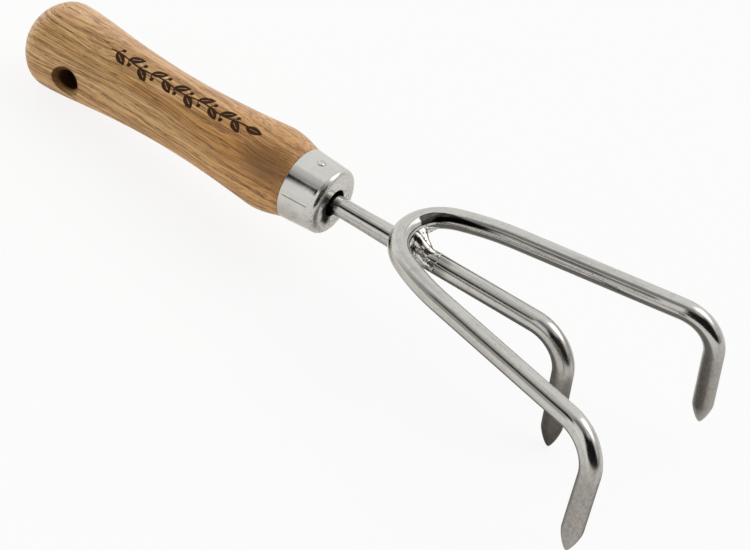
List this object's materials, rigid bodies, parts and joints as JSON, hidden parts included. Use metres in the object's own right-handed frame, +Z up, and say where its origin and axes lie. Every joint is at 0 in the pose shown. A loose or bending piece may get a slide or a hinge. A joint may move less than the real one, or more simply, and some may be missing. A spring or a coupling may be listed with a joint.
{
  "type": "hand cultivator",
  "caption": "Short-handled garden cultivator: turned ash grip with a hanging hole, steel ferrule, and a head of round steel rod bent into raking tines.",
  "frame": {"origin": "centre of the box's footprint, on the ground plane that the butt and the centre tine's point touch", "axes": "+X from the butt to the tines, +Y across the tines, +Z up; the tool's own axis rises 7.5 degrees towards the tines"},
  "size_m": [0.291, 0.097, 0.0606],
  "materials": {
    "ash_wood": "satin lacquer over straight ash grain",
    "polished_steel": "polished stainless steel",
    "satin_steel": "satin stainless steel, drawn along the rod",
    "weld_steel": "bright rippled weld metal",
    "resin": "cured dark resin"
  },
  "bodies": {
    "root": {"handle": "ash_wood", "ferrule": "polished_steel", "ferrule_pin": "polished_steel", "tang_resin": "resin", "centre_tine_rod": "satin_steel", "outer_tine_fork": "satin_steel", "crotch_weld": "weld_steel", "back_weld": "weld_steel"}
  },
  "joints": []
}
